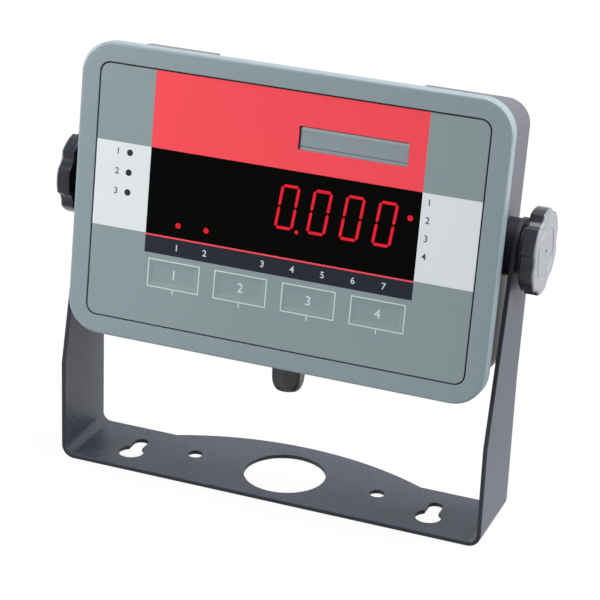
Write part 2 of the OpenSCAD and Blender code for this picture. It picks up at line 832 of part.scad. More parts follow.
// A threaded brass sleeve in the housing's side, on the tilt axis
module insert() {
    color([0.75, 0.6, 0.3]) difference() {
        rod_x(insert_r, housing_x - insert_l, insert_l);
        rod_x(stud_r + run_gap, housing_x - insert_l - cut, insert_l + 2 * cut);
    }
}

// The disc that keeps the housing centred between the arms
module spacer() {
    color([0.1, 0.1, 0.11]) difference() {
        rod_x(spacer_r, housing_x, arm_in_x - face_gap - housing_x);
        rod_x(stud_r + shank_gap, housing_x - cut, arm_in_x - housing_x + 2 * cut);
    }
}

module washer() {
    color("silver") difference() {
        rod_x(washer_r, arm_out_x + face_gap, washer_t);
        rod_x(stud_r + shank_gap, arm_out_x + face_gap - cut, washer_t + 2 * cut);
    }
}

module stud() {
    color("silver") rod_x(stud_r, arm_out_x - stud_reach, rim_front - arm_out_x + stud_reach + stud_seat);
}

// A lobed moulded knob: a hub, a rim with hollows between the lobes, and a ring groove in its face
module knob(turn) {
    color([0.1, 0.1, 0.11]) difference() {
        union() {
            rod_x(hub_r, hub_back, hub_t + rim_edge_r);
            translate([rim_front, 0, 0]) rotate([0, 90, 0]) rotate_extrude() {
                square([knob_r - rim_edge_r, rim_t]);
                translate([0, rim_edge_r]) square([knob_r, rim_t - 2 * rim_edge_r]);
                for (x = [rim_edge_r, rim_t - rim_edge_r])
                    translate([knob_r - rim_edge_r, x]) circle(rim_edge_r);
            }
        }
        for (i = [0 : lobe_count - 1]) rotate([turn + (i + 1 / 2) * 360 / lobe_count, 0, 0])
            translate([0, -(knob_r - flute_d + flute_r), 0]) rod_x(flute_r, rim_front - cut, rim_t + 2 * cut);
        difference() {
            rod_x(ring_r + ring_w / 2, rim_face - ring_d, ring_d + cut);
            rod_x(ring_r - ring_w / 2, rim_face - ring_d - cut, ring_d + 3 * cut);
        }
        rod_x(dot_r, rim_face - dot_d, dot_d + cut);
        rod_x(stud_r + run_gap, hub_back - cut, hub_t + stud_seat + cut + face_gap);
    }
}

module left() {
    in_head() mirror([1, 0, 0]) children();
}

module right() {
    in_head() children();
}

// Places a gland piece that is drawn about the gland's own upright axis
module in_gland() {
    in_face() translate([0, gland_y, 0]) children();
}

// The gland's body: a shank through the wall, a hexagon under it and the outer thread for the nut
module gland_body() {
    color([0.14, 0.14, 0.15]) in_gland() difference() {
        union() {
            translate([0, 0, gland_top]) cylinder(r = gland_shank_r, h = gland_inside + housing_wall);
            hex_rod(gland_body_af, gland_top - gland_body_h, gland_body_h);
            translate([0, 0, thread_end]) cylinder(r = gland_thread_r, h = gland_top - thread_end);
        }
        translate([0, 0, thread_end - cut])
            cylinder(r = seal_bore_r + seal_wall + run_gap, h = gland_floor - thread_end + cut + face_gap);
        translate([0, 0, thread_end - cut]) cylinder(r = seal_bore_r, h = gland_inside + head_d);
    }
}

module gland_locknut() {
    color([0.14, 0.14, 0.15]) in_gland() difference() {
        hex_rod(locknut_af, gland_top + housing_wall, locknut_h);
        translate([0, 0, gland_top]) cylinder(r = gland_shank_r + run_gap, h = head_d);
    }
}

module gland_seal() {
    color([0.05, 0.05, 0.05]) in_gland() translate([0, 0, thread_end]) difference() {
        cylinder(r = seal_bore_r + seal_wall, h = seal_l);
        translate([0, 0, -cut]) cylinder(r = seal_bore_r, h = seal_l + 2 * cut);
    }
}

// The domed nut: a hexagon whose lower end is turned to a round nose, with the cable's mouth
module gland_nut() {
    nut_r = gland_nut_af / 2 * hex_share;
    nose = gland_dome_r;
    color([0.14, 0.14, 0.15]) in_gland() difference() {
        intersection() {
            hex_rod(gland_nut_af, gland_nut_end, gland_nut_h);
            translate([0, 0, gland_nut_end]) rotate_extrude() {
                translate([0, nose]) square([nut_r + seat_gap, gland_nut_h - nose]);
                square([nut_r + seat_gap - nose, nose]);
                intersection() {
                    translate([nut_r + seat_gap - nose, nose]) circle(nose);
                    square([nut_r + seat_gap, nose]);
                }
            }
        }
        translate([0, 0, gland_nut_end - cut])
            cylinder(r = seal_bore_r + gland_mouth_gap, h = gland_nut_h + 2 * cut);
        translate([0, 0, gland_nut_end + gland_end_wall])
            cylinder(r = gland_thread_r + run_gap, h = gland_nut_h);
    }
}

bracket();
front_cover();
rear_housing();
sealing_ring();
front_panel();
display_window();
rating_strip();
key(0);  // key_1
key(1);  // key_2
key(2);  // key_3
key(3);  // key_4
digit(0);  // digit_1
digit(1);  // digit_2
digit(2);  // digit_3
digit(3);  // digit_4
digit(4);  // digit_5
digit(5);  // digit_6
display_board();
display_screws();
lamp(0);  // lamp_1
lamp(1);  // lamp_2
lamp(2);  // lamp_3
status_lamps();
key_switch(0);  // key_switch_1
key_switch(1);  // key_switch_2
key_switch(2);  // key_switch_3
key_switch(3);  // key_switch_4
main_board();
board_screws();
transformer();
terminal_block();
ribbon_cable();
cover_screws();
left() insert();  // left_insert
right() insert();  // right_insert
left() spacer();  // left_spacer
right() spacer();  // right_spacer
left() washer();  // left_washer
right() washer();  // right_washer
left() stud();  // left_stud
right() stud();  // right_stud
left() knob(left_lobe_turn);  // left_knob
right() knob(right_lobe_turn);  // right_knob
gland_body();
gland_locknut();
gland_seal();
gland_nut();
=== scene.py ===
import json
import math

import bmesh
import bpy
from mathutils import Matrix, Vector


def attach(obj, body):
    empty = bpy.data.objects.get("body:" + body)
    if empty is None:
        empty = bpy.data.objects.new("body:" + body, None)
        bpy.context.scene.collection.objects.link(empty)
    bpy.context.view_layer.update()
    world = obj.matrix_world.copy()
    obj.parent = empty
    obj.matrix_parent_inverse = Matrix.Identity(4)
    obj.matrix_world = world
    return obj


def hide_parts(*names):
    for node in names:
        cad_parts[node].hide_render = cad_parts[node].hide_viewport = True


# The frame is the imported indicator: a sealed display head that tilts on two clamp knobs in a bent steel
# bracket. Each piece below is drawn in millimetres on the axes of its own part, and a place matrix sets it
# into the frame.
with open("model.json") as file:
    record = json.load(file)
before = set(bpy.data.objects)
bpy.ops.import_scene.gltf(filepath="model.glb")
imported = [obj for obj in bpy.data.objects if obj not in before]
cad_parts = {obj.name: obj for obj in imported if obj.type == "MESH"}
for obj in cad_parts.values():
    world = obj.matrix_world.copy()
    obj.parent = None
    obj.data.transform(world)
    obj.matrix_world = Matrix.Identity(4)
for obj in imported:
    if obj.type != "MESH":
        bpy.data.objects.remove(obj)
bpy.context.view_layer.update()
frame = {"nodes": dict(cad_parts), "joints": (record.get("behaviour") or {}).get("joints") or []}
mm = 0.001

# The camera stands in front of the object, to its right and above it, at the photograph's angle.
# The small shift puts the middle of its view where the photograph has it.
azimuth, elevation, roll = (math.radians(degrees) for degrees in (21.119, 22.712, 2.205))
reach = math.cos(elevation)
away = Vector((math.sin(azimuth) * reach, -math.cos(azimuth) * reach, math.sin(elevation)))
across = Vector((0, 0, 1)).cross(away).normalized()
upward = away.cross(across)
looked_at = Vector((-1.227, -5.9, 97.788)) * mm
distance = 1039.9 * mm

lens = bpy.data.cameras.new("camera")
lens.sensor_width = 36
lens.lens = 131.46
lens.shift_x = 0.02505
lens.shift_y = -0.00269
camera = bpy.data.objects.new("camera", lens)
bpy.context.collection.objects.link(camera)
turned = Matrix((across, upward, away)).transposed().to_4x4() @ Matrix.Rotation(roll, 4, "Z")
camera.matrix_world = Matrix.Translation(looked_at + away * distance) @ turned
bpy.context.scene.camera = camera

# The bracket is one strip of mild steel: cut flat with its holes, bent up at both ends in a press brake and
# powder coated dark grey with a fine texture; its cut edges are given a darker colour as painted shade. The
# flat blank is drawn, then bent.
plate_t, plate_edge_r = 2.2, 0.4
base_d = 42.9
bend_r, bend_steps = 6.5, 10
bulge_w, bulge_h = 131, 15.5
hole_row_y = 5.9
big_hole_r = 20.25
fix_hole_x, fix_hole_r = 48.4, 3.7
keyhole_x, keyhole_head_r, keyhole_slot_w, keyhole_run = 78.4, 6.3, 7, 11.5
arm_front_z, arm_back_z, arm_tip_r = 51, 72, 14.3
arm_out_x, arm_hole_r = 109.2, 4.4
pivot_y, pivot_z = 14, 138.3
near = 0.001  # points and heights closer than this count as the same
side_normal_z = 0.5
corner_above, smooth_below = math.radians(60), math.radians(32)
noise_low, noise_high = 0.3, 0.7
roughness_drift = 0.1


def screen(red, green, blue):
    """A colour as a screen shows it, 0 to 255, as the linear numbers that a shader takes."""
    shares = [channel / 255 for channel in (red, green, blue)]
    return (*[((share + 0.055) / 1.055) ** 2.4 if share > 0.04045 else share / 12.92 for share in shares], 1)


def finish(name, colour, roughness, tone=0.06, patch=14, grain=700, depth=0.00003, speck=0.0, **sockets):
    """A surface whose tone drifts in soft patches, with fine grain in its relief, tone and roughness."""
    material = bpy.data.materials.new(name)
    material.use_nodes = True
    nodes, links = material.node_tree.nodes, material.node_tree.links
    shader = nodes["Principled BSDF"]
    for socket, value in sockets.items():
        shader.inputs[socket.replace("_", " ")].default_value = value
    place = nodes.new("ShaderNodeTexCoord").outputs["Object"]

    def noise(scale, detail):
        node = nodes.new("ShaderNodeTexNoise")
        node.inputs["Scale"].default_value = scale
        node.inputs["Detail"].default_value = detail
        links.new(place, node.inputs["Vector"])
        return node.outputs["Fac"]

    def between(value, low, high):
        node = nodes.new("ShaderNodeMapRange")
        node.inputs["From Min"].default_value = noise_low
        node.inputs["From Max"].default_value = noise_high
        node.inputs["To Min"].default_value = low
        node.inputs["To Max"].default_value = high
        links.new(value, node.inputs["Value"])
        return node.outputs["Result"]

    soft = noise(patch, detail=3)
    fine = noise(grain, detail=2)
    mixed = nodes.new("ShaderNodeMath")
    mixed.operation = "ADD"
    links.new(between(fine, -speck, speck), mixed.inputs[0])
    links.new(between(soft, 0, 1), mixed.inputs[1])
    paint = nodes.new("ShaderNodeMix")
    paint.data_type = "RGBA"
    darker, lighter, painted = paint.inputs[6], paint.inputs[7], paint.outputs[2]
    flat = screen(*colour)[:3]
    darker.default_value = (*[channel * (1 - tone) for channel in flat], 1)
    lighter.default_value = (*[min(1, channel * (1 + tone)) for channel in flat], 1)
    links.new(mixed.outputs["Value"], paint.inputs["Factor"])
    links.new(painted, shader.inputs["Base Color"])
    smoothest, roughest = roughness * (1 - roughness_drift), roughness * (1 + roughness_drift)
    links.new(between(fine, smoothest, roughest), shader.inputs["Roughness"])
    relief = nodes.new("ShaderNodeBump")
    relief.inputs["Distance"].default_value = depth
    links.new(fine, relief.inputs["Height"])
    links.new(relief.outputs["Normal"], shader.inputs["Normal"])
    return material


def verts_in(geometry):
    """The vertices in what an operator gives back."""
    return [g for g in geometry if isinstance(g, bmesh.types.BMVert)]


def path(bm, *stretches, closed=True, steps=24):
    """Adds a flat outline made of points, given as (x, y), and arcs, given as (centre, start, degrees)."""
    ends = []
    for stretch in stretches:
        if isinstance(stretch[0], tuple):
            centre, start, degrees = stretch
            first = bm.verts.new((*start, 0))
            swept = bmesh.ops.spin(bm, geom=[first], cent=(*centre, 0), axis=(0, 0, 1),
                                   angle=math.radians(degrees), steps=steps)
            ends.append((first, verts_in(swept["geom_last"])[0]))
        else:
            point = bm.verts.new((*stretch, 0))
            ends.append((point, point))
    following = ends[1:] + ends[:1] if closed else ends[1:]
    for (_, last), (first, _) in zip(ends, following):
        bm.edges.new((last, first))
    bmesh.ops.remove_doubles(bm, verts=bm.verts, dist=near)


def circle(bm, radius, x=0.0, y=0.0, z=0.0, segments=64):
    """Adds a round outline and gives back its edges."""
    ring = bmesh.ops.create_circle(bm, segments=segments, radius=radius, matrix=Matrix.Translation((x, y, z)))
    return list(dict.fromkeys(edge for vert in ring["verts"] for edge in vert.link_edges))


def cut_across(bm, place, direction):
    """Cuts every face that a plane crosses in two, and keeps both parts."""
    everything = bm.verts[:] + bm.edges[:] + bm.faces[:]
    bmesh.ops.bisect_plane(bm, geom=everything, plane_co=place, plane_no=direction)


def thicken(bm, height, sheet=None):
    """Gives a flat sheet its thickness, along Z."""
    raised = bmesh.ops.extrude_face_region(bm, geom=sheet or bm.faces[:])["geom"]
    bmesh.ops.translate(bm, vec=(0, 0, height), verts=verts_in(raised))
    bmesh.ops.recalc_face_normals(bm, faces=bm.faces)


def ease(bm, width, edges=None, segments=3):
    """Rounds the edges given, or else every edge that turns by more than corner_above."""
    if edges is None:
        edges = [e for e in bm.edges if len(e.link_faces) == 2 and e.calc_face_angle() > corner_above]
    bmesh.ops.bevel(bm, geom=edges, offset=width, offset_type="OFFSET", segments=segments, profile=0.5,
                    affect="EDGES", material=-1, clamp_overlap=True, loop_slide=False)


def piece(bm, name, place, body, slot, materials, *nodes):
    """Sets a finished mesh into the frame as a piece that rides on a body and stands for the nodes named."""
    bmesh.ops.transform(bm, matrix=place, verts=bm.verts)
    bmesh.ops.remove_doubles(bm, verts=bm.verts, dist=near * mm)
    bmesh.ops.recalc_face_normals(bm, faces=bm.faces)
    mesh = bpy.data.meshes.new(name)
    bm.to_mesh(mesh)
    bm.free()
    mesh.shade_smooth()
    mesh.set_sharp_from_angle(angle=smooth_below)
    for material in materials:
        mesh.materials.append(material)
    made = bpy.data.objects.new(name, mesh)
    bpy.context.collection.objects.link(made)
    even = made.modifiers.new("even_shading", "WEIGHTED_NORMAL")
    even.keep_sharp = True
    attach(made, body)
    if nodes:
        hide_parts(*nodes)
    return made


def blank_length(height):
    """How far along the flat blank a point lies that ends up at a height on an arm."""
    return arm_out_x - bend_r + bend_length + height - bend_r


def lean_of(edge_y, edge_z, side):
    """The lean from upright of an arm's edge that runs from a corner to the side of the round tip."""
    run, rise = pivot_y - edge_y, pivot_z - edge_z
    return math.atan2(run, rise) - side * math.asin(arm_tip_r / math.hypot(run, rise))


bend_length = (bend_r - plate_t / 2) * math.pi / 2
front_y, back_y = -base_d / 2, base_d / 2
front_lean, back_lean = lean_of(front_y, arm_front_z, 1), lean_of(back_y, arm_back_z, -1)
tip_x = blank_length(pivot_z)
tip_start = (tip_x + arm_tip_r * math.sin(front_lean), pivot_y - arm_tip_r * math.cos(front_lean))
tip_turn = 180 + math.degrees(front_lean - back_lean)
bulge_r = ((bulge_w / 2) ** 2 + bulge_h**2) / (2 * bulge_h)
bulge_turn = math.degrees(math.asin(bulge_w / 2 / bulge_r))

bm = bmesh.new()
path(bm, (0, front_y), (blank_length(arm_front_z), front_y), ((tip_x, pivot_y), tip_start, tip_turn),
     (blank_length(arm_back_z), back_y), ((0, back_y + bulge_h - bulge_r), (bulge_w / 2, back_y), bulge_turn),
     closed=False, steps=32)
path(bm, ((0, hole_row_y), (0, hole_row_y - big_hole_r), 180), closed=False, steps=48)
circle(bm, fix_hole_r, fix_hole_x, hole_row_y)
circle(bm, arm_hole_r, tip_x, pivot_y)
slot_side = keyhole_slot_w / 2
head_y = hole_row_y - keyhole_run
neck_turn = 2 * math.degrees(math.asin(slot_side / keyhole_head_r))
neck_y = head_y + math.sqrt(keyhole_head_r**2 - slot_side**2)
path(bm, ((keyhole_x, head_y), (keyhole_x - slot_side, neck_y), 360 - neck_turn),
     ((keyhole_x, hole_row_y), (keyhole_x + slot_side, hole_row_y), 180), steps=40)
bmesh.ops.mirror(bm, geom=bm.verts[:] + bm.edges[:], axis="X", merge_dist=near)
bmesh.ops.remove_doubles(bm, verts=bm.verts, dist=near)
bmesh.ops.triangle_fill(bm, use_beauty=True, edges=bm.edges[:])
for side in (-1, 1):
    for step in range(bend_steps + 1):
        fold = side * (arm_out_x - bend_r + bend_length * step / bend_steps)
        cut_across(bm, (fold, 0, 0), (1, 0, 0))
thicken(bm, plate_t)
ease(bm, plate_edge_r)
bm.normal_update()
# The cut edges get the darker material, which is painted shade; the other faces get the coat.
coated, cut = range(2)
for face in bm.faces:
    face.material_index = cut if abs(face.normal.z) < side_normal_z else coated
for vert in bm.verts:
    past = abs(vert.co.x) - (arm_out_x - bend_r)
    if past > 0:
        turn = min(past / bend_length, 1) * math.pi / 2
        radius = bend_r - vert.co.z
        rise = max(past - bend_length, 0)
        vert.co.x = math.copysign(arm_out_x - bend_r + radius * math.sin(turn), vert.co.x)
        vert.co.z = bend_r - radius * math.cos(turn) + rise
powder_coat = finish("powder_coat", (59, 62, 74), 0.4, tone=0.2, grain=800, depth=0.00015, speck=1.0,
                     Specular_IOR_Level=0.28)
# Painted shade: the darker colour given to the cut edges.
cut_edge_shade = finish("cut_edge_shade", (38, 41, 47), 0.45, grain=1500, depth=0.0001, Specular_IOR_Level=0.2)
on_base = Matrix.Translation((0, -hole_row_y * mm, 0)) @ Matrix.Scale(mm, 4)
piece(bm, "bracket_strip", on_base, "bracket", "bracket_paint", [powder_coat, cut_edge_shade], "bracket")

# The rear housing is a dark grey moulded tub, a little lower at its rounded back rim than in front, with a
# shallow relief across its top and a deep seat for a screw in each corner. Its flange lies inside the front
# cover.
head_lean = math.radians(7.4)
pivot_back = 28.2
head_d = 46
cover_w, cover_h, cover_d = 211, 142.2, 6.5
cover_face_t, cover_wall, cover_corner_r = 3, 2.6, 16
housing_w, housing_h, housing_corner_r, housing_edge_r = 202.6, 132.4, 12, 4
relief_w, relief_h, relief_x = 105, 3, -2
housing_draft = 0.02
gasket_t, flange_gap = 1.2, 0.3
tower_inset = 9.6
screw_seat_r, screw_seat_d = 4, 4
tilt_axis = Matrix.Translation(Vector(frame["joints"][0]["pos_m"])) @ Matrix.Rotation(-head_lean, 4, "X")
on_face = (tilt_axis @ Matrix.Translation((0, -pivot_back * mm, 0)) @ Matrix.Scale(mm, 4)
           @ Matrix.Rotation(math.pi / 2, 4, "X"))


def round_rect(bm, width, height, radius, x=0.0, y=0.0, z=0.0, steps=8):
    """Adds an oblong outline with round corners and gives back its edges."""
    before = set(bm.edges)
    across, up = width / 2 - radius, height / 2 - radius
    path(bm, ((across, -up), (across, -height / 2), 90), ((across, up), (width / 2, up), 90),
         ((-across, up), (-across, height / 2), 90), ((-across, -up), (-width / 2, -up), 90), steps=steps)
    added = [edge for edge in bm.edges if edge not in before]
    corners = list(dict.fromkeys(vert for edge in added for vert in edge.verts))
    bmesh.ops.translate(bm, vec=(x, y, z), verts=corners)
    return added


def draw_out(bm, rim, height, scale=1.0):
    """Draws a wall out of a closed rim, along Z, and gives back the new rim."""
    drawn = bmesh.ops.extrude_edge_only(bm, edges=rim)["geom"]
    verts = verts_in(drawn)
    bmesh.ops.translate(bm, vec=(0, 0, height), verts=verts)
    if scale != 1.0:
        middle = sum((vert.co for vert in verts), Vector()) / len(verts)
        for vert in verts:
            vert.co = middle + (vert.co - middle) * scale
    return [g for g in drawn if isinstance(g, bmesh.types.BMEdge) and all(v in verts for v in g.verts)]


def cap(bm, *rims):
    """Closes the flat space between the rims, and gives back the new faces."""
    edges = [edge for rim in rims for edge in rim]
    filled = bmesh.ops.triangle_fill(bm, use_beauty=True, edges=edges)["geom"]
    return [g for g in filled if isinstance(g, bmesh.types.BMFace)]


def rim_at(bm, z):
    """The outline of the flat faces at one height, whose faces are taken away."""
    faces = [f for f in bm.faces if all(abs(v.co.z - z) < near for v in f.verts)]
    edges = dict.fromkeys(e for f in faces for e in f.edges)
    rim = [e for e in edges if sum(f in faces for f in e.link_faces) == 1]
    bmesh.ops.delete(bm, geom=faces, context="FACES_ONLY")
    return rim


housing_front = cover_face_t + gasket_t
across, up = housing_w / 2 - housing_corner_r, housing_h / 2 - housing_corner_r
relief_left, relief_right = relief_x - relief_w / 2, relief_x + relief_w / 2
bm = bmesh.new()
path(bm, ((across, -up), (across, -housing_h / 2), 90), ((across, up), (housing_w / 2, up), 90),
     (relief_right, housing_h / 2), (relief_right, housing_h / 2 - relief_h),
     (relief_left, housing_h / 2 - relief_h), (relief_left, housing_h / 2),
     ((-across, up), (-across, housing_h / 2), 90), ((-across, -up), (-housing_w / 2, -up), 90), steps=12)
bmesh.ops.contextual_create(bm, geom=bm.edges[:])
bmesh.ops.translate(bm, vec=(0, 0, -housing_front), verts=bm.verts)
thicken(bm, housing_front - head_d)
rear_z = -head_d + near
for vert in bm.verts:
    if vert.co.z < rear_z:
        vert.co.y *= 1 - housing_draft
ease(bm, housing_edge_r, [e for e in bm.edges if all(v.co.z < rear_z for v in e.verts)], segments=6)
back_rim = rim_at(bm, -head_d)
seat_x, seat_y = housing_w / 2 - tower_inset, housing_h / 2 - tower_inset
seats = [circle(bm, screw_seat_r, x * seat_x, y * seat_y, -head_d, segments=32)
         for x in (-1, 1) for y in (-1, 1)]
cap(bm, back_rim, *seats)
for seat in seats:
    cap(bm, draw_out(bm, seat, screw_seat_d))
lip = cover_wall + flange_gap
flange = round_rect(bm, cover_w - 2 * lip, cover_h - 2 * lip, cover_corner_r - lip, z=-housing_front)
thicken(bm, housing_front - cover_d, cap(bm, flange))
housing_grain = finish("housing_grain", (69, 70, 80), 0.42, tone=0.04, grain=1100, depth=0.00006, speck=0.35)
piece(bm, "housing_tub", on_face, "head", "housing_grey", [housing_grain], "rear_housing")

# The front cover is a shallow tray moulded in grey-green plastic with a satin face. Its front edge is rounded
# all the way round, and a recess in the face takes the printed panel.
cover_edge_r = 1.4
border_side, border_top = 10.3, 10
panel_w, panel_h = cover_w - 2 * border_side, cover_h - 2 * border_top
panel_corner_r, panel_gap, panel_sink, panel_t = 4.7, 0.75, 0.3, 0.6
recess_d, recess_edge_r = 1.6, 0.25

bm = bmesh.new()
round_rect(bm, cover_w, cover_h, cover_corner_r, steps=16)
bmesh.ops.contextual_create(bm, geom=bm.edges[:])
thicken(bm, -cover_d)
ease(bm, cover_edge_r, [e for e in bm.edges if all(abs(v.co.z) < near for v in e.verts)], segments=6)
front_rim = rim_at(bm, 0)
recess = round_rect(bm, panel_w + 2 * panel_gap, panel_h + 2 * panel_gap, panel_corner_r + panel_gap)
cap(bm, front_rim, recess)
recess_floor = cap(bm, draw_out(bm, recess, -recess_d))
back_rim = rim_at(bm, -cover_d)
inner = round_rect(bm, cover_w - 2 * cover_wall, cover_h - 2 * cover_wall, cover_corner_r - cover_wall,
                   z=-cover_d, steps=16)
cap(bm, back_rim, inner)
cap(bm, draw_out(bm, inner, cover_d - cover_face_t))
# The recess floor is painted near black as painted shade, so the gap round the panel reads dark.
recess_shade_floor = 1
for face in recess_floor:
    face.material_index = recess_shade_floor
ease(bm, recess_edge_r, recess, segments=2)
cover_satin = finish("cover_satin", (116, 130, 136), 0.36, tone=0.03, grain=1300, depth=0.00001, speck=0.2)
recess_painted_shade = finish("recess_painted_shade", (20, 22, 25), 0.8)
piece(bm, "cover_tray", on_face, "head", "cover_grey", [cover_satin, recess_painted_shade], "front_cover")

# The panel is one sheet of polyester film, printed on its back in flat colours and glued into the recess.
# The dark window is part of the sheet, so what is lit behind it shows in the film's own surface.
zone_side = 67.06
red_bottom, window_bottom, line_bottom, band_bottom = 24.5, -16.9, -17.7, -26.1
strip_w, strip_h, strip_x, strip_y, strip_corner_r = 53, 11.2, 32.2, 40.2, 0.6
key_w, key_h, key_corner_r, key_gap = 25.2, 12.4, 1.2, 0.04
key_count, key_pitch, key_y = 4, 34.2, -35.7
digit_pitch, digit_last_x, digit_y, lit_digits = 15.9, 50.8, 7, 4
numeral_w, numeral_h, segment_w, segment_space = 9.4, 21.4, 1.4, 0.25
numeral_slant = math.tan(math.radians(6.5))
point_r, point_x, point_drop = 0.95, 5.5, -0.3
status_y, status_r, lit_status_x = -10.9, 1.35, (-50.7, -36.3)
unit_x, unit_y = 62.4, 11.8
lamp_x, lamp_y, lamp_pitch, lamp_r = -77.9, 10.4, 9.6, 1.6
key_xs = [key_pitch * (index - (key_count - 1) / 2) for index in range(key_count)]


def bar(bm, length, x, y, upright):
    """Adds one bar of a numeral, pointed at both ends, about its own middle."""
    half, tip = length / 2 - segment_space, segment_w / 2
    before = set(bm.verts)
    path(bm, (-half, 0), (tip - half, tip), (half - tip, tip),
         (half, 0), (half - tip, -tip), (tip - half, -tip))
    added = [vert for vert in bm.verts if vert not in before]
    if upright:
        bmesh.ops.rotate(bm, verts=added, cent=(0, 0, 0), matrix=Matrix.Rotation(math.pi / 2, 3, "Z"))
    bmesh.ops.translate(bm, vec=(x, y, 0), verts=added)


def zero(bm, x, y):
    """Adds the outlines of the six bars that make a nought, leaning to the right."""
    before = set(bm.verts)
    wide, tall = numeral_w - segment_w, (numeral_h - segment_w) / 2
    for side in (-1, 1):
        bar(bm, wide, 0, side * tall, False)
        for level in (-1, 1):
            bar(bm, tall, side * wide / 2, level * tall / 2, True)
    for vert in bm.verts:
        if vert not in before:
            vert.co.x += numeral_slant * vert.co.y + x
            vert.co.y += y


bm = bmesh.new()
outer = round_rect(bm, panel_w, panel_h, panel_corner_r)
openings = [round_rect(bm, key_w + 2 * key_gap, key_h + 2 * key_gap, key_corner_r + key_gap,
                       x, key_y, steps=6) for x in key_xs]
openings.append(round_rect(bm, strip_w, strip_h, strip_corner_r, strip_x, strip_y, steps=3))
plain = set(bm.edges)
for place in range(lit_digits):
    zero(bm, digit_last_x - place * digit_pitch, digit_y)
digit_first_x = digit_last_x - (lit_digits - 1) * digit_pitch
circle(bm, point_r, digit_first_x + point_x, digit_y - numeral_h / 2 + point_drop, segments=24)
for x, y in [(x, status_y) for x in lit_status_x] + [(unit_x, unit_y)]:
    circle(bm, status_r, x, y, segments=24)
lit_edges = [e for e in bm.edges if e not in plain]
lamp_edges = [e for step in (-1, 0, 1)
              for e in circle(bm, lamp_r, lamp_x, lamp_y + step * lamp_pitch, segments=32)]
cap(bm, outer, *openings, lit_edges, lamp_edges)
sheet_faces = set(bm.faces)
bmesh.ops.edgeloop_fill(bm, edges=lit_edges)
lit_faces = set(bm.faces) - sheet_faces
bmesh.ops.edgeloop_fill(bm, edges=lamp_edges)
grey, red, window, navy, pale, lit, unlit = range(7)
for face in bm.faces:
    face.material_index = lit if face in lit_faces else grey if face in sheet_faces else unlit
for x in (-zone_side, zone_side):
    cut_across(bm, (x, 0, 0), (1, 0, 0))
for y in (red_bottom, window_bottom, line_bottom, band_bottom):
    cut_across(bm, (0, y, 0), (0, 1, 0))
for face in bm.faces:
    x, y, _ = face.calc_center_median()
    if face.material_index != grey:
        continue
    if abs(x) > zone_side:
        if window_bottom < y < red_bottom:
            face.material_index = pale
    elif y > red_bottom or line_bottom < y < window_bottom:
        face.material_index = red
    elif y > window_bottom:
        face.material_index = window
    elif y > band_bottom:
        face.material_index = navy
thicken(bm, -panel_t)
bmesh.ops.translate(bm, vec=(0, 0, -panel_sink), verts=bm.verts)
film = dict(tone=0.02, grain=2200, depth=0.000006)
film_grey = finish("film_grey", (116, 130, 133), 0.34, **film)
film_red = finish("film_red", (219, 62, 72), 0.34, Specular_IOR_Level=0.3, **film)
film_window = finish("film_window", (4, 4, 3), 0.2, tone=0.3, grain=300, depth=0.000002,
                     Specular_IOR_Level=0.02)
film_navy = finish("film_navy", (32, 34, 45), 0.34, Specular_IOR_Level=0.1, **film)
film_pale = finish("film_pale", (198, 203, 206), 0.34, **film)
lit_red = finish("lit_red", (60, 5, 9), 0.3, tone=0.1, grain=900, Specular_IOR_Level=0.05,
                 Emission_Color=screen(220, 27, 44), Emission_Strength=1.0)
lamp_unlit = finish("lamp_unlit", (28, 30, 40), 0.2, tone=0.25, patch=400, Specular_IOR_Level=0.3)
print_materials = [film_grey, film_red, film_window, film_navy, film_pale, lit_red, lamp_unlit]
piece(bm, "panel_film", on_face, "head", "panel_film", print_materials, "front_panel")

# The keys are soft pads of the same film, dished for the finger, each in a printed frame with a tick under
# it. Their labels, and those of the lamps, are plain numbers printed in a pale or a dark ink.
frame_w, frame_h, frame_line, frame_corner_r = 26.8, 14.0, 0.6, 0.25
tick_w, tick_h, tick_corner_r = 0.6, 2.4, 0.15
key_depth, pad_corner_least = 0.7, 0.6
pad_steps = ((0.0, 0.0), (0.6, -0.04), (1.2, -0.15), (1.8, -0.27), (2.3, -0.33), (2.8, -0.35))
ink_t = 0.05
key_number_h, small_number_h, number_weight = 6.4, 4.4, 0.012
lamp_number_x, lamp_count = -84, 3
unit_number_x, unit_count, unit_pitch = 70.6, 4, 8.4
status_number_y, status_xs = -22, (-50.7, -36.3, -7, 8, 23, 38, 53)
pale_ink = finish("pale_ink", (176, 190, 190), 0.4, **film)
dark_ink = finish("dark_ink", (44, 47, 55), 0.4, **film)


def bridge(bm, first, second):
    """Joins two rims that face each other and gives back the new faces."""
    return bmesh.ops.bridge_loops(bm, edges=first + second)["faces"]


def number(bm, text, size, x, y, z, ink):
    """Adds a printed number, centred on a point, in the material that has the ink's index on the piece."""
    curve = bpy.data.curves.new("number", "FONT")
    curve.body, curve.size, curve.extrude = text, size, ink_t / 2
    curve.align_x, curve.align_y = "CENTER", "CENTER"
    curve.offset = size * number_weight
    written = bpy.data.objects.new("number", curve)
    bpy.context.collection.objects.link(written)
    mesh = bpy.data.meshes.new_from_object(written)
    bpy.data.objects.remove(written)
    mesh.transform(Matrix.Translation((x, y, z)))
    before = set(bm.faces)
    bm.from_mesh(mesh)
    bpy.data.meshes.remove(mesh)
    for face in bm.faces:
        if face not in before:
            face.material_index = ink


for index, x in enumerate(key_xs):
    bm = bmesh.new()
    rims = []
    for inward, rise in pad_steps:
        corner_r = max(key_corner_r - inward, pad_corner_least)
        rims.append(round_rect(bm, key_w - 2 * inward, key_h - 2 * inward, corner_r,
                               x, key_y, -panel_sink + rise))
    for lower, upper in zip(rims, rims[1:]):
        bridge(bm, lower, upper)
    cap(bm, rims[-1])
    cap(bm, draw_out(bm, rims[0], -key_depth))
    number(bm, str(index + 1), key_number_h, x, key_y, -panel_sink + pad_steps[-1][1], ink=1)
    name = f"key_{index + 1}"
    piece(bm, f"{name}_pad", on_face, name, "key_film", [film_grey, pale_ink], name)

